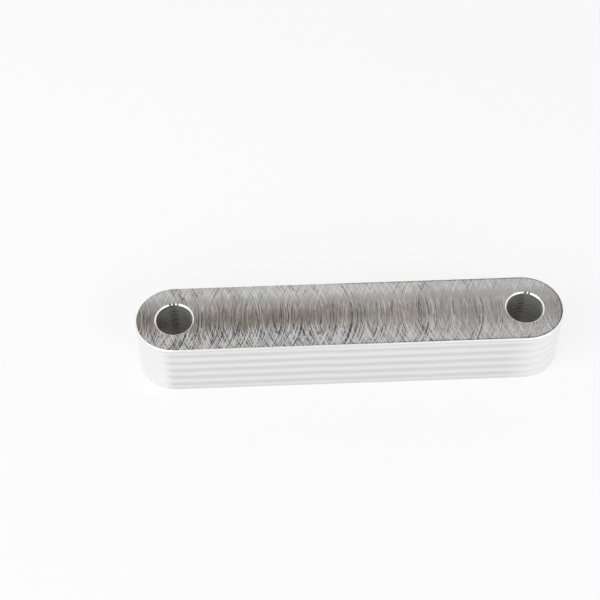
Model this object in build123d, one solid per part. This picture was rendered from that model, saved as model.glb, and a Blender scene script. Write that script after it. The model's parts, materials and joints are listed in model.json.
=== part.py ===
from build123d import *
import os

# Machined aluminium mounting block, in millimetres.
#
# One obround bar: two long flat sides joined by full half-round ends, with a through bolt hole on the
# axis of each end. It is cut from solid bar stock in one piece, so it is one solid in one node. Every
# outer edge of the two clamping faces is broken by a small chamfer, and so is each mouth of each hole.
#
# Frame: the origin is the centre of the bottom clamping face, +X runs along the bar from hole to hole,
# +Y across it, and +Z up through the holes to the top clamping face.

# Driving dimensions
hole_spacing = 114.3        # between the axes of the two bolt holes, 4 1/2 in
width = 25.4                # across the bar, and twice the radius of its ends, 1 in
thickness = 22.2            # from clamping face to clamping face, 7/8 in
hole_diameter = 11.9        # clearance for a 7/16 in bolt, 15/32 in
hole_mouth_chamfer = 0.5    # at 45 degrees, on both mouths of each hole
edge_break = 0.4            # at 45 degrees, round the rim of both clamping faces


def obround_blank():
    """The bar before drilling: its ends are concentric with the holes, and its rims are broken."""
    blank = extrude(SlotCenterToCenter(hole_spacing, width), amount=thickness)
    top_rim = blank.faces().sort_by(Axis.Z)[-1].outer_wire().edges()
    bottom_rim = blank.faces().sort_by(Axis.Z)[0].outer_wire().edges()
    return chamfer(top_rim + bottom_rim, edge_break)


def hole_cutter():
    """One through hole with its two chamfered mouths, as a turned tool standing on the hole's axis."""
    hole_radius = hole_diameter / 2
    mouth_radius = hole_radius + hole_mouth_chamfer
    half_section = Polyline(
        (0, 0),
        (mouth_radius, 0),
        (hole_radius, hole_mouth_chamfer),
        (hole_radius, thickness - hole_mouth_chamfer),
        (mouth_radius, thickness),
        (0, thickness),
        close=True,
    )
    return revolve(Plane.XZ * make_face(half_section), Axis.Z)


def mounting_block():
    """The finished block: the blank less a hole on the axis of each end."""
    block = obround_blank()
    for hole_seat in GridLocations(hole_spacing, 0, 2, 1):
        block -= hole_seat * hole_cutter()
    return block


os.makedirs("parts", exist_ok=True)
export_step(mounting_block(), "parts/mounting_block.step")
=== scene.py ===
"""Dresses the machined mounting block: one obround aluminium bar with a through bolt hole at each end.

The bar is built as a fine mesh over the plain CAD solid, face by face as it was machined: side walls
profiled in stepped passes, clamping faces fly-cut, holes drilled, and every outer edge broken.
"""

import json
import logging
import math
from dataclasses import dataclass, field
from enum import IntEnum
from typing import Any

import bmesh
import bpy
from mathutils import Matrix, Vector, noise


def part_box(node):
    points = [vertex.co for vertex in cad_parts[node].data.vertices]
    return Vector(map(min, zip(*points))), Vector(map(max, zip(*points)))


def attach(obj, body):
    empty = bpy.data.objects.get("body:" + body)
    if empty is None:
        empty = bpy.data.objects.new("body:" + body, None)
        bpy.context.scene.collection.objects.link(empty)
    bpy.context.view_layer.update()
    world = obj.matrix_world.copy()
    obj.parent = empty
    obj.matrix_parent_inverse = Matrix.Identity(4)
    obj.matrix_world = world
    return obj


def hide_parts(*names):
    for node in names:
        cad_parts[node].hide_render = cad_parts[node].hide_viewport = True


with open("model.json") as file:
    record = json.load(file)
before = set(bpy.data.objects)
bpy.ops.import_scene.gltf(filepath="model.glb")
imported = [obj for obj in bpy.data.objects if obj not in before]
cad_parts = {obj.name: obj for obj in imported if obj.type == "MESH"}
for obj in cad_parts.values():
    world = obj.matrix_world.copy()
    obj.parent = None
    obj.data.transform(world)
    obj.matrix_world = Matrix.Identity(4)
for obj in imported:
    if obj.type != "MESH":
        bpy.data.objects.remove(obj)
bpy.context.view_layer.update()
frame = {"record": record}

MM = 0.001  # metres in a millimetre
TINY = 1e-6  # metres; closer points are one point
BODY = "root"
CAD_NODE = "mounting_block"

Colour = tuple[float, float, float]

log = logging.getLogger("mounting_block")


# ---------------------------------------------------------------------------------------------------
# Shader graph
# ---------------------------------------------------------------------------------------------------


@dataclass(frozen=True)
class Ramp:
    """Something that sets in along one coordinate."""

    start: float
    full: float
    strength: float = 1.0


@dataclass(frozen=True)
class Band:
    """Something that lies across one coordinate and fades to both sides."""

    middle: float
    reach: float  # from the middle to where it ends
    core: float  # from the middle to where it starts to fade
    strength: float = 1.0


class Wire:
    """A shader socket that takes part in arithmetic: each operator adds the Math node that does it."""

    def __init__(self, graph: "Graph", socket: bpy.types.NodeSocket) -> None:
        """Wraps one output socket of a graph.

        Args:
            graph: The graph that the socket belongs to.
            socket: The output socket.
        """
        self.graph = graph
        self.socket = socket

    def __add__(self, other: "Wire | float") -> "Wire":
        """This plus other."""
        return self.graph.math("ADD", self, other)

    def __sub__(self, other: "Wire | float") -> "Wire":
        """This less other."""
        return self.graph.math("SUBTRACT", self, other)

    def __rsub__(self, other: float) -> "Wire":
        """Other less this."""
        return self.graph.math("SUBTRACT", other, self)

    def __mul__(self, other: "Wire | float") -> "Wire":
        """This times other."""
        return self.graph.math("MULTIPLY", self, other)

    def __truediv__(self, other: "Wire | float") -> "Wire":
        """This over other."""
        return self.graph.math("DIVIDE", self, other)

    def __pow__(self, other: "Wire | float") -> "Wire":
        """This to the power other."""
        return self.graph.math("POWER", self, other)

    __radd__ = __add__
    __rmul__ = __mul__


class Graph:
    """The node tree of one material or world, written as Python expressions."""

    def __init__(self, owner: "bpy.types.Material | bpy.types.World") -> None:
        """Empties the owner's tree and starts on it.

        Args:
            owner: The material or world to build.
        """
        owner.use_nodes = True
        self.tree = owner.node_tree
        self.tree.nodes.clear()

    def node(
        self, kind: str, settings: dict[str, Any] | None = None, inputs: dict[Any, Any] | None = None
    ) -> bpy.types.Node:
        """Adds any node.

        Args:
            kind: The node's type.
            settings: Its properties, which are set first.
            inputs: Its sockets by name or number, each with a value or a Wire.

        Returns:
            The new node.
        """
        made = self.tree.nodes.new(kind)
        for name, value in (settings or {}).items():
            setattr(made, name, value)
        for key, value in (inputs or {}).items():
            if isinstance(value, Wire):
                self.tree.links.new(value.socket, made.inputs[key])
            else:
                made.inputs[key].default_value = value
        return made

    def wire(
        self,
        kind: str,
        settings: dict[str, Any] | None = None,
        inputs: dict[Any, Any] | None = None,
        output: "int | str" = 0,
    ) -> Wire:
        """Adds any node and wraps one of its outputs.

        Args:
            kind: The node's type.
            settings: Its properties.
            inputs: Its sockets' values and links.
            output: The name or number of the output.

        Returns:
            The wrapped output.
        """
        return Wire(self, self.node(kind, settings, inputs).outputs[output])

    def math(self, operation: str, *operands: "Wire | float") -> Wire:
        """Adds a Math node.

        Args:
            operation: What it does.
            *operands: Its values, in order.

        Returns:
            The result.
        """
        return self.wire("ShaderNodeMath", {"operation": operation}, dict(enumerate(operands)))

    def step(self, value: Wire, low: float, high: float) -> Wire:
        """A smooth step.

        Args:
            value: What is stepped.
            low: Where the step leaves 0.
            high: Where it reaches 1; it may be the lower of the two.

        Returns:
            0 on the low side, 1 on the high side, smooth between.
        """
        first, last, start, end = (low, high, 0.0, 1.0) if low < high else (high, low, 1.0, 0.0)
        places = {"From Min": first, "From Max": last, "To Min": start, "To Max": end}
        settings = {"interpolation_type": "SMOOTHSTEP"}
        return self.wire("ShaderNodeMapRange", settings, {"Value": value, **places})

    def ramp(self, value: Wire, ramp: Ramp) -> Wire:
        """A ramp's strength at a value."""
        return self.step(value, ramp.start, ramp.full) * ramp.strength

    def band(self, value: Wire, band: Band) -> Wire:
        """A band's strength at a value."""
        return self.step(self.math("ABSOLUTE", value - band.middle), band.reach, band.core) * band.strength

    def axes(self, vector: Wire) -> tuple[Wire, Wire, Wire]:
        """The three parts of a vector."""
        x, y, z = self.node("ShaderNodeSeparateXYZ", inputs={0: vector}).outputs
        return Wire(self, x), Wire(self, y), Wire(self, z)

    def from_line(self, x: Wire, y: Wire, half_spacing: float) -> Wire:
        """How far a place is from the line between the axes of the two holes.

        Args:
            x: The place along the bar.
            y: The place across it.
            half_spacing: From the middle of the bar to either axis, in the same unit.

        Returns:
            The distance, in that unit.
        """
        past_end = self.math("MAXIMUM", self.math("ABSOLUTE", x) - half_spacing, 0.0)
        return self.math("SQRT", past_end * past_end + y * y)

    def mix(self, factor: "Wire | float", first: Any, second: Any) -> Wire:
        """Mixes two colours.

        Args:
            factor: 0 for the first, 1 for the second.
            first: A Wire or an (r, g, b) colour.
            second: A Wire or an (r, g, b) colour.

        Returns:
            The mixed colour.
        """
        colours = [c if isinstance(c, Wire) else (*c, 1.0) for c in (first, second)]
        inputs = {0: factor, 6: colours[0], 7: colours[1]}
        return self.wire("ShaderNodeMix", {"data_type": "RGBA"}, inputs, 2)

    def shade(self, colour: Wire, level: "Wire | float") -> Wire:
        """Multiplies a colour or a vector by a number."""
        return self.wire("ShaderNodeVectorMath", {"operation": "SCALE"}, {0: colour, "Scale": level})

    def noise(self, place: Wire, scale: float, detail: float = 2.0, offset: float = 0.0) -> Wire:
        """Noise along one number.

        Args:
            place: The number.
            scale: Waves in each unit of it.
            detail: Octaves of finer noise.
            offset: Added to the place, so that two noises differ.

        Returns:
            The noise, about 0.5.
        """
        inputs = {"W": place + offset, "Scale": scale, "Detail": detail}
        return self.wire("ShaderNodeTexNoise", {"noise_dimensions": "1D"}, inputs)

    def cloud(self, points: Wire, scale: float, detail: float = 2.0, offset: float = 0.0) -> Wire:
        """Noise through space.

        Args:
            points: The coordinates.
            scale: Waves in each metre, or in each unit of the coordinates.
            detail: Octaves of finer noise.
            offset: Which slice of the noise.

        Returns:
            The noise, about 0.5.
        """
        inputs = {"Vector": points, "W": offset, "Scale": scale, "Detail": detail}
        return self.wire("ShaderNodeTexNoise", {"noise_dimensions": "4D"}, inputs)

    def output(self, shader: Wire) -> None:
        """Ends the graph.

        Args:
            shader: The finished surface or background.
        """
        kind = "ShaderNodeOutputMaterial"
        if shader.socket.node.bl_idname == "ShaderNodeBackground":
            kind = "ShaderNodeOutputWorld"
        self.node(kind, inputs={"Surface": shader})


# ---------------------------------------------------------------------------------------------------
# Finishes
# ---------------------------------------------------------------------------------------------------


class Finish(IntEnum):
    """The machined finishes of the block, in the order of its material slots."""

    FLY_CUT = 0
    PROFILED = 1
    DRILLED = 2
    BROKEN_EDGE = 3


@dataclass(frozen=True)
class Metal:
    """What the four finishes share: a bare metal surface from a colour, a roughness and a relief."""

    name: str
    half_spacing: float  # mm from the middle of the bar to the axis of a hole

    def start(self) -> tuple[bpy.types.Material, Graph, Wire, Wire, Wire, Wire]:
        """Starts a material on the block's own coordinates.

        Returns:
            The material, its graph, the coordinates in millimetres, and their x, y and z.
        """
        material = bpy.data.materials.new(self.name)
        graph = Graph(material)
        points = graph.shade(graph.wire("ShaderNodeTexCoord", output="Object"), 1 / MM)
        return material, graph, points, *graph.axes(points)

    @staticmethod
    def close(graph: Graph, colour: Wire, roughness: "Wire | float", height: Wire) -> None:
        """Ends a material with its metal surface.

        Args:
            graph: The material's graph.
            colour: The metal's colour.
            roughness: How rough it is.
            height: Its relief in millimetres.
        """
        bump = graph.wire("ShaderNodeBump", inputs={"Height": height, "Distance": MM}, output="Normal")
        inputs = {"Base Color": colour, "Metallic": 1.0, "Roughness": roughness, "Normal": bump}
        graph.output(graph.wire("ShaderNodeBsdfPrincipled", inputs=inputs))


@dataclass(frozen=True)
class FlyCut(Metal):
    """A clamping face swept by one wide face mill, whose teeth leave arcs that cross behind it."""

    pale: Colour = (0.80, 0.79, 0.775)
    painted_reflection_lane: Colour = (0.385, 0.340, 0.305)  # a painted dark brownish reflection, in a lane along the middle of the bar
    reflection_lane_middle: float = -0.8  # mm from the bar's centreline to the middle of the lane
    reflection_lane_reach: float = 10.5  # mm from there to where the face is bright
    reflection_lane_fade: float = 0.35  # how much weaker the lane is towards +X
    reflection_lane_drift: float = 5.0  # mm that the lane wanders sideways
    drift_pace: float = 0.06  # waves of that in each mm

    cutter_radius: float = 24.0  # mm
    origin: float = 200.0  # mm added to the feed, so that it stays above 0
    score_pace: float = 2.0  # short scores in each mm of feed
    score_stretch: float = 0.17  # and in each mm along an arc
    bright_pitch: float = 0.78  # mm of feed from one bright line to the next
    bright_width: float = 0.27  # half the width of one, in pitches
    dark_pitch: float = 0.86
    dark_width: float = 0.25
    core: float = 0.25  # how much of a line's half width is at full strength
    stray: float = 1.6  # how far a line strays from its even place, in pitches
    stray_pace: float = 0.7  # waves of that in each mm of feed
    gap_pace: float = 0.16  # gaps in each mm along a line
    gap_shift: float = 13.7  # puts the gaps of the next line elsewhere
    gaps: tuple[float, float] = (0.38, 0.54)  # noise at which a line sets in and is full
    contrast: float = 1.5  # the power that leaves most lines weak
    lead: float = 0.65  # strength of the scores of the cutter's leading edge
    trail: float = 0.5  # and of its trailing edge
    trail_lines: float = 0.8  # strength of the lines of the trailing edge
    weights: tuple[float, float, float] = (0.85, 0.9, -0.8)  # of the scores, the bright and the dark lines
    grain: float = 0.45  # strength of the fine grain between the arcs
    grain_pace: float = 2.2  # waves of it in each mm
    depth: float = 0.010  # mm, of a strong mark

    right: Ramp = Ramp(-25.0, 35.0)  # mm along X, over which the marks weaken
    near: Ramp = Ramp(-2.5, -6.5)  # mm along Y, to the strip where they are strong and the face is painted darker
    far: Ramp = Ramp(7.5, 9.5)
    calm: Band = Band(6.3, 2.8, 0.5)  # mm along Y, where they are weak and the face is painted darker
    end: Ramp = Ramp(38.0, 56.0, 0.5)  # mm along X, to the end where grain takes their place
    # Strength of the marks everywhere, then what near, far, calm and right add to it.
    force: tuple[float, float, float, float, float] = (1.12, 1.35, -0.1, -0.65, -0.25)
    near_fade: float = 0.75  # how much less the near strip stands out towards +X
    far_fade: float = 0.3

    level: float = 0.95
    least: float = 0.2  # no mark is darker than this
    mottle: float = 0.20  # strength of the clouding
    mottle_pace: float = 0.35  # waves of it in each mm
    painted_sheen: tuple[Ramp, Band] = (Ramp(2.0, 10.5), Band(-8.0, 42.0, 5.0, 0.16))  # a painted highlight, along Y and X
    # another painted highlight, along Y and X
    painted_highlight: tuple[Ramp, Band] = (Ramp(0.0, -3.0), Band(3.0, 30.0, 5.0, 0.11))
    painted_dimming: float = 0.09  # painted shade: how much darker the near and the calm strip are
    rim: float = 12.3  # mm from the line between the holes to the edge of the face
    painted_rim_line: tuple[float, float] = (0.65, 0.1)  # mm inside the rim, where a painted line of shade starts and is full
    painted_rim_shade: tuple[float, Ramp] = (0.12, Ramp(-15.0, 5.0, 0.45))  # its strength, and what +X adds
    roughness: float = 0.31
    polish: float = 0.08  # how much smoother a bright mark is

    def lines(self, graph: Graph, feed: Wire, y: Wire, pitch: float, width: float, seed: float) -> Wire:
        """Separate lines left by single teeth, each with a strength of its own and gaps along it.

        Args:
            graph: The material's graph.
            feed: Where the cutter stood, in millimetres.
            y: Millimetres across the bar.
            pitch: The feed from one line to the next, in millimetres.
            width: Half the width of a line, in pitches.
            seed: Which set of lines.

        Returns:
            The lines, 0 off them and up to 1 on the strongest.
        """
        strayed = (graph.noise(feed, self.stray_pace, 1.0, seed) - 0.5) * (pitch * self.stray)
        place = (feed + strayed) / pitch
        tooth = graph.math("FLOOR", place)
        off_line = graph.math("ABSOLUTE", place - tooth - 0.5)
        strength = graph.wire("ShaderNodeTexWhiteNoise", {"noise_dimensions": "1D"}, {"W": tooth + seed})
        along = y * self.gap_pace + tooth * self.gap_shift
        unbroken = graph.step(graph.noise(along, 1.0, 2.0, seed), *self.gaps)
        return graph.step(off_line, width, width * self.core) * unbroken * strength**self.contrast

    def sweep(self, graph: Graph, x: Wire, y: Wire, side: float) -> tuple[Wire, Wire, Wire]:
        """The arcs that one side of the cutter leaves.

        Args:
            graph: The material's graph.
            x: Millimetres along the bar.
            y: Millimetres across it.
            side: 1 for the leading edge of the cutter, -1 for its trailing edge.

        Returns:
            Short scoring about 0, bright lines and dark lines, each up to 1.
        """
        reach = graph.math("SQRT", self.cutter_radius**2 - y * y)
        feed = x - reach * side + self.origin
        on_arc = {"X": feed * self.score_pace, "Y": y * self.score_stretch, "Z": 5.0 * side}
        place = graph.wire("ShaderNodeCombineXYZ", inputs=on_arc)
        short = (graph.cloud(place, 1.0, 3.0) - 0.5) * 2.0
        bright = self.lines(graph, feed, y, self.bright_pitch, self.bright_width, 3.0 + side)
        dark = self.lines(graph, feed, y, self.dark_pitch, self.dark_width, 9.0 + side)
        return short, bright, dark

    def make(self) -> bpy.types.Material:
        """Builds the material.

        Returns:
            The fly-cut metal.
        """
        material, graph, points, x, y, _ = self.start()
        lead_short, lead_bright, lead_dark = self.sweep(graph, x, y, 1.0)
        trail_short, trail_bright, trail_dark = self.sweep(graph, x, y, -1.0)
        right = graph.ramp(x, self.right)
        near = graph.ramp(y, self.near) * (1.0 - right * self.near_fade)
        far = graph.ramp(y, self.far) * (1.0 - right * self.far_fade)
        calm = graph.band(y, self.calm)
        force = self.force[0] + near * self.force[1] + far * self.force[2]
        force = force + calm * self.force[3] + right * self.force[4]

        bright = graph.math("MAXIMUM", lead_bright, trail_bright * self.trail_lines)
        dark = graph.math("MAXIMUM", lead_dark, trail_dark * self.trail_lines)
        scoring = lead_short * self.lead + trail_short * self.trail
        end = graph.ramp(x, self.end)
        grain = (graph.cloud(points, self.grain_pace, 2.0, 7.0) - 0.5) * (end + self.grain)
        arcs = scoring * self.weights[0] + bright * self.weights[1] + dark * self.weights[2]
        marks = (arcs * (1.0 - end) + grain) * force
        mottle = (graph.cloud(points, self.mottle_pace, 3.0, 2.0) - 0.5) * self.mottle
        # Two painted highlights, each a patch of brighter tone.
        painted_sheen, painted_highlight = (graph.ramp(y, ramp) * graph.band(x, band) for ramp, band in (self.painted_sheen, self.painted_highlight))
        from_line = graph.from_line(x, y, self.half_spacing)
        # A painted line of shade just inside the face's rim, stronger towards +X.
        painted_rim_line = graph.step(from_line, self.rim - self.painted_rim_line[0], self.rim - self.painted_rim_line[1])
        rim = painted_rim_line * (graph.ramp(x, self.painted_rim_shade[1]) + self.painted_rim_shade[0])
        # The face's tone: painted highlights brighten it and painted shade darkens the near and calm strips.
        level = self.level + painted_sheen + painted_highlight - near * self.painted_dimming - calm * self.painted_dimming
        tone = graph.math("MAXIMUM", level + marks + mottle - rim, self.least)

        # A painted dark reflection in a lane along the middle of the face, weaker towards +X.
        drift = (graph.cloud(points, self.drift_pace) - 0.5) * self.reflection_lane_drift
        across = graph.math("ABSOLUTE", y - self.reflection_lane_middle + drift)
        painted_reflection_lane = graph.step(across, self.reflection_lane_reach, 0.0) * (1.0 - right * self.reflection_lane_fade)
        metal = graph.mix(painted_reflection_lane, self.pale, self.painted_reflection_lane)
        relief = (scoring + lead_bright + trail_bright - dark) * (0.5 * self.depth)
        self.close(graph, graph.shade(metal, tone), self.roughness - marks * self.polish, relief)
        return material


@dataclass(frozen=True)
class Profiled(Metal):
    """A side wall cut round the bar in stepped passes, each fading from bright to dull."""

    bright: Colour = (0.85, 0.85, 0.855)
    dull: Colour = (0.695, 0.695, 0.70)
    painted_end_highlight: Colour = (0.97, 0.97, 0.97)  # a painted highlight on the round ends
    painted_end_highlight_share: float = 0.55  # how much of that shows there
    pass_depth: float = 3.95  # mm from one pass to the next
    first_pass: float = 3.2  # mm up to the middle of the lowest dull band
    sharpness: float = 1.4  # the power that narrows the dull bands
    waver: float = 0.9  # mm that they wander up and down
    waver_pace: float = 0.05  # waves of that in each mm
    left_end: Ramp = Ramp(-0.5, -5.0)  # mm past the left hole's axis
    right_end: Ramp = Ramp(-7.0, 5.0, 0.7)  # mm past the right one's
    end_fade: float = 0.92  # how much weaker the bands are on a round end
    patch_pace: float = 0.11  # patches of a weaker band in each mm
    patches: tuple[float, float] = (1.1, 0.45)  # their strength, and what is added
    uneven_pace: float = 0.4  # waves in each mm of how the bands differ
    painted_low_shade: tuple[float, float] = (0.30, 0.0135)  # painted shade: dullness at the foot, and how much each mm up takes off
    streaks: float = 0.45  # strength of the fine streaks along the wall
    streak_pace: float = 2.6  # streaks in each mm up
    # Painted lines along the wall: shade under the top edge, a highlight below that, and shade at the foot.
    painted_top_shade: Band = Band(21.05, 0.45, 0.05, 0.75)  # mm up the wall
    painted_edge_highlight: Band = Band(20.45, 0.5, 0.05, 1.1)
    painted_foot_shade: Band = Band(1.0, 0.55, 0.05, 0.7)
    roughness: float = 0.36
    dull_roughness: float = 0.06  # what a dull band adds
    ripple: tuple[float, float] = (4.0, 0.002)  # scores up the wall: in each mm, and their depth in mm
    facet: tuple[float, float] = (2.2, 0.001)  # the same along it

    def make(self) -> bpy.types.Material:
        """Builds the material.

        Returns:
            The profiled metal.
        """
        material, graph, points, x, _, z = self.start()
        waver = (graph.noise(x, self.waver_pace, 2.0, 5.0) - 0.5) * self.waver
        turn = (z - self.first_pass + waver) * (2 * math.pi / self.pass_depth)
        band = (graph.math("COSINE", turn) * 0.5 + 0.5) ** self.sharpness
        left_end = graph.ramp(x + self.half_spacing, self.left_end)
        right_end = graph.ramp(x - self.half_spacing, self.right_end)
        end = graph.math("MAXIMUM", left_end, right_end)
        patch = graph.cloud(points, self.patch_pace, 3.0, 8.0) * self.patches[0] + self.patches[1]
        uneven = graph.noise(z, self.uneven_pace, 1.0, 12.0) + 0.5
        streaks = (graph.noise(z + waver, self.streak_pace, 3.0, 3.0) - 0.5) * self.streaks
        # Painted shade, darkest at the foot of the wall.
        painted_low_shade = self.painted_low_shade[0] - z * self.painted_low_shade[1]
        passes_and_low_shade = (band * patch * uneven + streaks + painted_low_shade) * (1.0 - end * self.end_fade)
        # Painted lines of shade and a painted highlight line.
        lines = graph.band(z, self.painted_top_shade) - graph.band(z, self.painted_edge_highlight) + graph.band(z, self.painted_foot_shade)
        # The wall's colour: the tool passes, with painted light and shade.
        passes_and_painted_light = graph.mix(graph.math("MAXIMUM", passes_and_low_shade + lines, 0.0), self.bright, self.dull)
        # A painted highlight on the round ends.
        metal = graph.mix(end * self.painted_end_highlight_share, passes_and_painted_light, self.painted_end_highlight)
        ripple = graph.noise(z, self.ripple[0]) * self.ripple[1]
        facet = graph.noise(x, self.facet[0], 2.0, 9.0) * self.facet[1]
        self.close(graph, metal, self.roughness + band * self.dull_roughness, ripple + facet)
        return material


@dataclass(frozen=True)
class Drilled(Metal):
    """The wall of a bolt hole, with the fine turns that the drill leaves."""

    pale: Colour = (0.95, 0.98, 0.95)
    # dark is painted shade inside the hole; the drill marks run from it to pale
    dark: Colour = (0.26, 0.26, 0.25)
    painted_reflection_tint: Colour = (0.66, 0.56, 0.51)  # a painted brownish reflection deep in the hole
    painted_tint_depth: Ramp = Ramp(15.0, 7.0, 0.55)  # mm up the hole, where that painted reflection starts and is full
    lead: float = 1.1  # mm of feed in each turn
    wander: float = 1.5  # turns that the feed strays
    wander_pace: float = 0.5  # waves of that in each mm
    score_pace: float = 2.2  # score lines in each mm up the hole
    score_rise: float = 0.18  # mm that they climb in each radian
    blotch_pace: float = 0.22  # blotches in each mm
    lit_way: float = 0.75  # radians from +X to the side of the hole painted brightest, as light falls
    lit: float = 0.35
    seam: Band = Band(1.62, 0.35, 0.05, 0.5)  # radians from +X, a dark streak down the wall
    mouth: Ramp = Ramp(8.0, 21.0, 0.35)  # mm up the hole, painted brighter towards the mouth
    weights: tuple[float, float, float] = (0.6, 1.7, 0.8)  # of the turns, the scores and the blotches
    # pulls the wall towards that painted shade
    level: float = -1.1
    roughness: float = 0.36
    score_roughness: float = 0.12
    lit_roughness: float = 0.2
    depths: tuple[float, float] = (0.022, 0.035)  # mm, of the turns and the scores

    def make(self) -> bpy.types.Material:
        """Builds the material.

        Returns:
            The drilled metal.
        """
        material, graph, points, x, y, z = self.start()
        centre = graph.math("SIGN", x) * self.half_spacing
        angle = graph.math("ARCTAN2", y, x - centre)
        strayed = graph.noise(z, self.wander_pace, 1.0, 2.0) * self.wander
        turns = z / self.lead + angle / (2 * math.pi) + strayed
        wave = graph.math("SINE", turns * (2 * math.pi)) * 0.5 + 0.5
        scoring = graph.noise(z + angle * self.score_rise, self.score_pace, 3.0, 17.0)
        blotch = graph.cloud(points, self.blotch_pace, 2.0, 4.0)
        # Painted light: one side of the hole brighter than the other.
        lit_side = graph.math("COSINE", angle - self.lit_way) * self.lit
        marks = wave * self.weights[0] + scoring * self.weights[1] + blotch * self.weights[2]
        # Painted light towards the mouth.
        tone = marks + lit_side + graph.ramp(z, self.mouth) - graph.band(angle, self.seam) + self.level
        # The drill marks, over painted shade.
        metal = graph.mix(graph.math("MAXIMUM", tone, 0.0), self.dark, self.pale)
        height = wave * self.depths[0] + scoring * self.depths[1]
        roughness = self.roughness + scoring * self.score_roughness + lit_side * self.lit_roughness
        # A painted brownish reflection deep in the hole.
        self.close(graph, graph.mix(graph.ramp(z, self.painted_tint_depth), metal, self.painted_reflection_tint), roughness, height)
        return material


@dataclass(frozen=True)
class Chatter:
    """Where the chamfering tool dwelt in one mouth. Angles are in degrees from +Y, towards +X."""

    side: float  # 1 for the hole towards +X, -1 for the other
    phase: float  # the middle of one mark
    middle: float  # the middle of all the marks
    reach: float  # from there to where they end


@dataclass(frozen=True)
class BrokenEdge(Metal):
    """The narrow chamfers round the clamping faces and the mouths of the holes."""

    metal: Colour = (0.96, 0.96, 0.96)
    scuffed: Colour = (0.72, 0.72, 0.72)
    # the chatter nicks are real; their near-black is a painted dark reflection
    chatter_painted_dark: Colour = (0.10, 0.10, 0.10)
    scuff_pace: float = 0.9  # scuffs in each mm
    scuffs: tuple[float, float] = (0.54, 0.80)  # noise at which a scuff starts and is full
    left: Chatter = Chatter(-1.0, -1.5, -1.5, 16.0)
    right: Chatter = Chatter(1.0, 8.7, 14.5, 10.5)
    lobes: float = 30.0  # chatter marks in a full turn of the tool
    marked: tuple[float, float] = (-0.35, 0.25)  # height of its wave at which a mark starts and is full
    soft: float = 1.5  # degrees over which the marks set in
    strength: float = 0.95
    mouth_radius: float = 6.9  # mm, just outside a mouth
    roughness: float = 0.30
    scrape_pace: float = 2.5  # scrapes in each mm
    scrape: float = 0.01  # mm, their depth

    def chatter(self, graph: Graph, x: Wire, y: Wire, mouth: Chatter) -> Wire:
        """The marks that the chamfering tool left in one mouth.

        Args:
            graph: The material's graph.
            x: Millimetres along the bar.
            y: Millimetres across it.
            mouth: Where it dwelt.

        Returns:
            1 in a mark, 0 elsewhere.
        """
        along = x - self.half_spacing * mouth.side
        turned = graph.math("ARCTAN2", along, y) * (180 / math.pi)
        radius = graph.math("SQRT", along * along + y * y)
        inside = graph.math("LESS_THAN", radius, self.mouth_radius)
        window = graph.band(turned, Band(mouth.middle, mouth.reach + self.soft, mouth.reach - self.soft))
        wave = graph.math("COSINE", (turned - mouth.phase) * (self.lobes * math.pi / 180))
        return graph.step(wave, *self.marked) * window * inside

    def make(self) -> bpy.types.Material:
        """Builds the material.

        Returns:
            The scraped metal of an edge.
        """
        material, graph, points, x, y, _ = self.start()
        scuff = graph.step(graph.cloud(points, self.scuff_pace, 3.0), *self.scuffs)
        metal = graph.mix(scuff, self.metal, self.scuffed)
        left, right = (self.chatter(graph, x, y, mouth) for mouth in (self.left, self.right))
        # Real chatter marks, painted near black as a dark reflection.
        marks = graph.math("MAXIMUM", left, right) * self.strength
        height = graph.cloud(points, self.scrape_pace, 2.0, 6.0) * self.scrape
        self.close(graph, graph.mix(marks, metal, self.chatter_painted_dark), self.roughness, height)
        return material


# ---------------------------------------------------------------------------------------------------
# The block
# ---------------------------------------------------------------------------------------------------


def place_piece(
    name: str, mesh: bmesh.types.BMesh, materials: list[bpy.types.Material]
) -> bpy.types.Object:
    """Stands a finished mesh in the scene.

    Args:
        name: The name of the piece.
        mesh: Its mesh, which is freed.
        materials: Its materials, in the order of its slots.

    Returns:
        The new object.
    """
    data = bpy.data.meshes.new(name)
    mesh.to_mesh(data)
    mesh.free()
    for material in materials:
        data.materials.append(material)
    piece = bpy.data.objects.new(name, data)
    bpy.context.scene.collection.objects.link(piece)
    return piece


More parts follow.
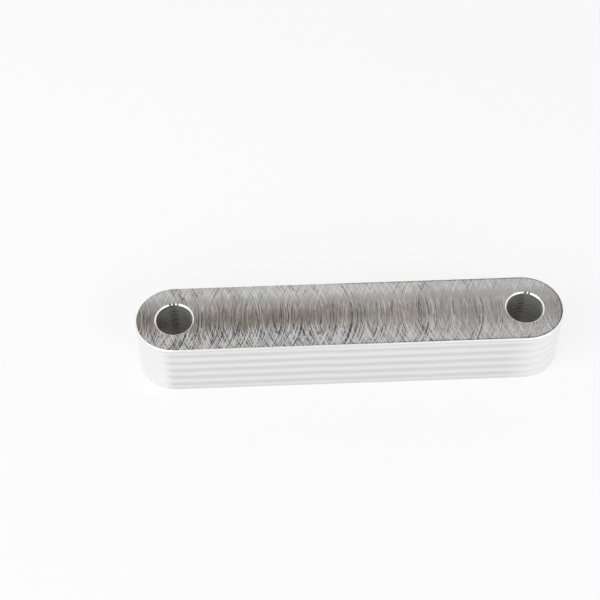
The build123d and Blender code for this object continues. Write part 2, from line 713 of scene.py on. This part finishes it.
@dataclass(kw_only=True)
class Swept:
    """A wall made by sweeping its upright section, on a mesh of its own. Sizes are in metres."""

    thickness: float
    chamfer: float
    levels: int
    roll: float = 0.07 * MM  # each of the two small facets that round a chamfer into its face
    slopes: tuple[float, float, float] = (45.0, 28.0, 12.0)  # degrees, of the chamfer and the facets
    ends: int = 4  # vertices at each end of a section that aren't on the wall between the chamfers
    rim: float = 0.9  # of a chamfer's width; a vertex farther out is on its rim
    mesh: bmesh.types.BMesh = field(default_factory=bmesh.new)

    def grow(self, vert: bmesh.types.BMVert, shift: tuple[float, float, float]) -> bmesh.types.BMVert:
        """Extrudes a section by one edge.

        Args:
            vert: The end of the section.
            shift: From there to its new end.

        Returns:
            The new end.
        """
        made = bmesh.ops.extrude_vert_indiv(self.mesh, verts=[vert])
        bmesh.ops.translate(self.mesh, verts=made["verts"], vec=shift)
        return made["verts"][0]

    def section(self, x: float, y: float, way: tuple[float, float]) -> list[bmesh.types.BMVert]:
        """Stands the section on the mesh, with a 45 degree chamfer rolled into the face at each end.

        Args:
            x: Where the wall is.
            y: Where the wall is.
            way: The unit vector from the wall into the metal of the faces.

        Returns:
            Its vertices, from the bottom up.
        """
        runs = (self.chamfer - 2 * self.roll, self.roll, self.roll)
        steps = [(run, run * math.tan(math.radians(slope))) for run, slope in zip(runs, self.slopes)]
        drop = sum(fall for _, fall in steps)
        rise = (self.thickness - 2 * drop) / self.levels
        verts = [self.mesh.verts.new((x + way[0] * self.chamfer, y + way[1] * self.chamfer, 0))]
        for run, fall in reversed(steps):
            verts.append(self.grow(verts[-1], (-way[0] * run, -way[1] * run, fall)))
        for _ in range(self.levels):
            verts.append(self.grow(verts[-1], (0, 0, rise)))
        for run, fall in steps:
            verts.append(self.grow(verts[-1], (way[0] * run, way[1] * run, fall)))
        return verts

    @staticmethod
    def chain(verts: list[bmesh.types.BMVert]) -> list[bmesh.types.BMEdge]:
        """The edges that join vertices of one chain.

        Args:
            verts: The chain's vertices.

        Returns:
            Its edges.
        """
        own = set(verts)
        found = [edge for vert in verts for edge in vert.link_edges if own.issuperset(edge.verts)]
        return list(dict.fromkeys(found))

    def turn(self, section: list, centre_x: float, angle: float, steps: int, closed: bool) -> list:
        """Spins a section about an upright axis on the bar's centreline.

        Args:
            section: The section's vertices and edges.
            centre_x: Where the axis is along the bar.
            angle: How far it turns.
            steps: In how many steps.
            closed: Whether the last step meets the first.

        Returns:
            The edges of the section where the turn ends.
        """
        spun = bmesh.ops.spin(
            self.mesh,
            geom=section,
            cent=(centre_x, 0, 0),
            axis=(0, 0, 1),
            dvec=(0, 0, 0),
            angle=angle,
            steps=steps,
            use_merge=closed,
            use_normal_flip=False,
            use_duplicate=False,
        )
        return [part for part in spun["geom_last"] if isinstance(part, bmesh.types.BMEdge)]

    def join(self, mesh: bmesh.types.BMesh) -> None:
        """Moves the wall to another mesh.

        Args:
            mesh: The mesh that takes it.
        """
        carrier = bpy.data.meshes.new("carrier")
        self.mesh.to_mesh(carrier)
        self.mesh.free()
        mesh.from_mesh(carrier)
        bpy.data.meshes.remove(carrier)


@dataclass(kw_only=True)
class SideWall(Swept):
    """The wall round the bar, cut in stepped passes, with both of its broken edges."""

    half_spacing: float
    half_width: float
    levels: int = 66
    arc_steps: int = 72
    straight_cuts: int = 95
    pass_depth: float = 3.95 * MM
    first_pass: float = 3.2 * MM
    scallop: float = 0.02 * MM
    waver: float = 0.06 * MM  # how far the broken edges wander in width
    long_wave: float = 6 * MM
    short_wave: float = 1.5 * MM

    def travel(self, edges: list[bmesh.types.BMEdge], distance: float) -> list:
        """Carries a section along the bar.

        Args:
            edges: The section's edges.
            distance: How far along X.

        Returns:
            The vertices and edges of the section where it ends.
        """
        made = bmesh.ops.extrude_edge_only(self.mesh, edges=edges)["geom"]
        verts = [part for part in made if isinstance(part, bmesh.types.BMVert)]
        bmesh.ops.translate(self.mesh, verts=verts, vec=(distance, 0, 0))
        return verts + self.chain(verts)

    def roughen(self) -> None:
        """Lets the broken edges wander in width, as hand work leaves them."""
        for vert in self.mesh.verts:
            along = max(-self.half_spacing, min(self.half_spacing, vert.co.x))
            outwards = Vector((vert.co.x - along, vert.co.y, 0.0))
            if self.half_width - outwards.length > self.chamfer * self.rim:
                wander = noise.noise(vert.co / self.long_wave) + 0.5 * noise.noise(vert.co / self.short_wave)
                vert.co -= outwards.normalized() * (self.waver * wander)

    def build(self) -> None:
        """Sweeps the section once round the bar."""
        section = self.section(self.half_spacing, -self.half_width, (0, 1))
        for vert in section[self.ends : -self.ends]:
            phase = 2 * math.pi * (vert.co.z - self.first_pass) / self.pass_depth
            vert.co.y += self.scallop * (0.5 + 0.5 * math.cos(phase))
        spacing = 2 * self.half_spacing
        start = section + self.chain(section)
        right = self.turn(start, self.half_spacing, math.pi, self.arc_steps, False)
        far = self.travel(right, -spacing)
        left = self.turn(far, -self.half_spacing, math.pi, self.arc_steps, False)
        self.travel(left, spacing)
        bmesh.ops.remove_doubles(self.mesh, verts=self.mesh.verts[:], dist=TINY)
        long_edges = [edge for edge in self.mesh.edges if edge.calc_length() > spacing * 0.9]
        bmesh.ops.subdivide_edges(self.mesh, edges=long_edges, cuts=self.straight_cuts)
        self.roughen()


@dataclass(kw_only=True)
class BoltHole(Swept):
    """One drilled hole with a chamfered mouth in each clamping face."""

    centre_x: float
    radius: float
    levels: int = 90
    steps: int = 144
    score_depth: float = 0.02 * MM
    score_pitch: float = 0.9 * MM
    chatter_depth: float = 0.05 * MM
    chatter_lobes: int = 30
    dwell: float = 0.3  # radians from +Y to where the chatter weakens
    least: float = 0.25  # what is left of it all round

    def chatter(self) -> None:
        """Leaves the chamfering tool's chatter on both mouths, deepest on the side where it dwelt."""
        for vert in self.mesh.verts:
            spoke = Vector((vert.co.x - self.centre_x, vert.co.y, 0.0))
            if spoke.length > self.radius + self.chamfer * self.rim:
                turned = math.atan2(spoke.x, spoke.y)
                strength = self.least + math.exp(-((turned / self.dwell) ** 2))
                wave = math.cos(self.chatter_lobes * turned)
                vert.co += spoke.normalized() * (self.chatter_depth * strength * wave)

    def build(self) -> None:
        """Turns the section once round the axis."""
        section = self.section(self.centre_x + self.radius, 0, (1, 0))
        for vert in section[self.ends : -self.ends]:
            score = noise.noise(Vector((vert.co.z / self.score_pitch, self.centre_x / MM, 0.0)))
            vert.co.x += self.score_depth * max(0.0, score)
        start = section + self.chain(section)
        self.turn(start, self.centre_x, 2 * math.pi, self.steps, True)
        self.chatter()


@dataclass
class MountingBlock:
    """The finished bar, as one closed mesh in the frame of its CAD solid. Sizes are in metres."""

    half_spacing: float
    half_width: float
    thickness: float
    hole_radius: float
    edge_break: float = 0.4 * MM
    mouth_chamfer: float = 0.5 * MM
    crease: float = math.radians(25)  # a sharper edge is shaded as an edge
    flat: float = 0.999  # upright share of a normal, above which its face is a clamping face
    sloped: float = 0.4  # and above which it is a chamfer
    mesh: bmesh.types.BMesh = field(default_factory=bmesh.new)

    @classmethod
    def from_frame(cls) -> "MountingBlock":
        """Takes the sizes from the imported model.

        Returns:
            A block that fits the CAD solid.
        """
        low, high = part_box(CAD_NODE)
        bores = [mount for mount in frame["record"]["mounts"] if mount["kind"] == "bore"]
        return cls(
            half_spacing=max(bore["pos_m"][0] for bore in bores),
            half_width=(high[1] - low[1]) / 2,
            thickness=high[2] - low[2],
            hole_radius=bores[0]["dims"]["r_mm"] * MM,
        )

    def face_off(self, height: float) -> None:
        """Closes one clamping face, round its holes.

        Args:
            height: Where the face is.
        """
        rims = [
            edge
            for edge in self.mesh.edges
            if edge.is_boundary and all(abs(vert.co.z - height) < TINY for vert in edge.verts)
        ]
        up = 1 if height > self.thickness / 2 else -1
        bmesh.ops.triangle_fill(
            self.mesh, edges=rims, use_beauty=True, use_dissolve=False, normal=(0, 0, up)
        )

    def finish_of(self, face: bmesh.types.BMFace) -> Finish:
        """Which tool made a face.

        Args:
            face: A face of the finished mesh.

        Returns:
            Its finish.
        """
        upright = abs(face.normal.z)
        middle = face.calc_center_median()
        from_axis = math.hypot(abs(middle.x) - self.half_spacing, middle.y)
        if upright > self.flat:
            return Finish.FLY_CUT
        if upright > self.sloped:
            return Finish.BROKEN_EDGE
        return Finish.DRILLED if from_axis < self.hole_radius + MM else Finish.PROFILED

    def dress(self) -> None:
        """Gives each face its finish, and shades the mesh smooth but for its real edges."""
        bmesh.ops.recalc_face_normals(self.mesh, faces=self.mesh.faces[:])
        self.mesh.normal_update()
        for face in self.mesh.faces:
            face.smooth = True
            face.material_index = self.finish_of(face)
        for edge in self.mesh.edges:
            kinds = {face.material_index for face in edge.link_faces}
            rims_face = Finish.FLY_CUT in kinds and len(kinds) > 1
            edge.smooth = edge.calc_face_angle(0.0) < self.crease and not rims_face

    def build(self, finishes: list[bpy.types.Material]) -> bpy.types.Object:
        """Makes the piece.

        Args:
            finishes: The materials, in the order of Finish.

        Returns:
            The block's object.
        """
        wall = SideWall(
            thickness=self.thickness,
            chamfer=self.edge_break,
            half_spacing=self.half_spacing,
            half_width=self.half_width,
        )
        holes = [
            BoltHole(
                thickness=self.thickness,
                chamfer=self.mouth_chamfer,
                centre_x=side * self.half_spacing,
                radius=self.hole_radius,
            )
            for side in (-1, 1)
        ]
        for part in (wall, *holes):
            part.build()
            part.join(self.mesh)
        for height in (0.0, self.thickness):
            self.face_off(height)
        self.dress()
        return place_piece("milled_block", self.mesh, finishes)


# ---------------------------------------------------------------------------------------------------
# The studio
# ---------------------------------------------------------------------------------------------------


@dataclass(frozen=True)
class Studio:
    """A white sweep in a white tent with a greyer crown, one soft lamp, and the camera."""

    wall_level: float = 0.95
    crown_level: float = 0.46
    crown: Ramp = Ramp(0.50, 0.86)  # the sine of the elevation over which the walls become the crown
    floor_radius: float = 3.0
    floor_segments: int = 96
    floor_drop: float = 0.05 * MM  # keeps it clear of the block's lower face
    floor_white: Colour = (0.97, 0.97, 0.97)
    floor_fill: float = 0.66  # how much of the floor's white is its own
    footprint: float = 2 * MM  # inside the block's outline, over which that white sets in
    pool: Ramp = Ramp(0.10, 0.50, 0.55)  # metres from the block, where reflections see it darken
    key: tuple[float, float, float] = (-0.55, -0.45, 0.75)
    key_watts: float = 3.0
    fill: tuple[float, float, float] = (0.55, -0.60, 0.60)
    fill_watts: float = 1.2
    lamp_size: float = 0.7
    camera_place: tuple[float, float, float] = (-0.02556, -0.29250, 0.41823)
    heading: float = 1.830  # degrees from +Y towards +X
    down: float = 52.976  # degrees
    roll: float = -0.497  # degrees
    lens: float = 90.84  # mm, on a 36 mm sensor

    def hang_tent(self) -> None:
        """Builds the world: white walls, a greyer crown, and white behind everything in view."""
        world = bpy.data.worlds.new("tent")
        bpy.context.scene.world = world
        graph = Graph(world)
        _, _, height = graph.axes(graph.wire("ShaderNodeTexCoord", output="Generated"))
        crown = graph.ramp(height, self.crown)
        seen = graph.wire("ShaderNodeLightPath", output="Is Camera Ray")
        walls, top = [(level,) * 3 for level in (self.wall_level, self.crown_level)]
        light = graph.mix(seen, graph.mix(crown, walls, top), (1.0, 1.0, 1.0))
        graph.output(graph.wire("ShaderNodeBackground", inputs={"Color": light, "Strength": 1.0}))

    def lay_floor(self, block: MountingBlock) -> None:
        """Lays the white floor, which fills itself in except under the block.

        Args:
            block: The block that stands on it.
        """
        mesh = bmesh.new()
        bmesh.ops.create_circle(
            mesh, cap_ends=True, segments=self.floor_segments, radius=self.floor_radius
        )
        bmesh.ops.translate(mesh, verts=mesh.verts[:], vec=(0, 0, -self.floor_drop))
        material = bpy.data.materials.new("white_floor")
        graph = Graph(material)
        x, y, _ = graph.axes(graph.wire("ShaderNodeTexCoord", output="Object"))
        from_line = graph.from_line(x, y, block.half_spacing)
        open_floor = graph.step(from_line, block.half_width - self.footprint, block.half_width)
        path = graph.node("ShaderNodeLightPath").outputs
        rays = ("Camera", "Glossy", "Transmission")
        camera, glossy, through = (Wire(graph, path[f"Is {ray} Ray"]) for ray in rays)
        seen = graph.math("MAXIMUM", graph.math("MAXIMUM", camera, glossy), through)
        sheet = graph.wire("ShaderNodeBsdfDiffuse", inputs={"Color": (*self.floor_white, 1.0)})
        level = 1.0 - graph.ramp(from_line, self.pool) * (1.0 - camera)
        fill = graph.wire("ShaderNodeEmission", inputs={"Color": level, "Strength": 1.0})
        factor = seen * open_floor * self.floor_fill
        graph.output(graph.wire("ShaderNodeMixShader", inputs={0: factor, 1: sheet, 2: fill}))
        place_piece("floor", mesh, [material])

    def hang_lamp(self, name: str, place: tuple[float, float, float], watts: float) -> None:
        """Hangs one soft lamp and turns it to the block.

        Args:
            name: The lamp's name.
            place: Where it hangs.
            watts: Its power.
        """
        data = bpy.data.lights.new(name, "AREA")
        data.size = self.lamp_size
        data.energy = watts
        lamp = bpy.data.objects.new(name, data)
        turn = (-Vector(place)).to_track_quat("-Z", "Y").to_matrix().to_4x4()
        lamp.matrix_world = Matrix.Translation(place) @ turn
        bpy.context.scene.collection.objects.link(lamp)

    def set_camera(self) -> None:
        """Stands the camera."""
        data = bpy.data.cameras.new("camera")
        data.sensor_width = 36.0
        data.lens = self.lens
        data.clip_start = 0.01
        data.dof.use_dof = False
        camera = bpy.data.objects.new("camera", data)
        turn = (
            Matrix.Rotation(math.radians(-self.heading), 4, "Z")
            @ Matrix.Rotation(math.radians(90 - self.down), 4, "X")
            @ Matrix.Rotation(math.radians(self.roll), 4, "Z")
        )
        camera.matrix_world = Matrix.Translation(self.camera_place) @ turn
        bpy.context.scene.collection.objects.link(camera)
        bpy.context.scene.camera = camera

    def build(self, block: MountingBlock) -> None:
        """Builds the studio round the block.

        Args:
            block: The block that it shows.
        """
        self.hang_tent()
        self.lay_floor(block)
        self.hang_lamp("key", self.key, self.key_watts)
        self.hang_lamp("fill", self.fill, self.fill_watts)
        self.set_camera()
        bpy.context.scene.view_settings.view_transform = "Standard"


def main() -> None:
    """Builds the studio and the block, and reports each piece."""
    logging.basicConfig(level=logging.INFO, format="%(name)s: %(message)s")
    block = MountingBlock.from_frame()
    Studio().build(block)
    half_spacing = block.half_spacing / MM
    finishes = [
        FlyCut("fly_cut_aluminium", half_spacing).make(),
        Profiled("profiled_aluminium", half_spacing).make(),
        Drilled("drilled_aluminium", half_spacing).make(),
        BrokenEdge("broken_edge_aluminium", half_spacing).make(),
    ]
    piece = block.build(finishes)
    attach(piece, BODY)
    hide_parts(CAD_NODE)
    log.info("%s: %d faces", piece.name, len(piece.data.polygons))


if __name__ == "__main__":
    main()
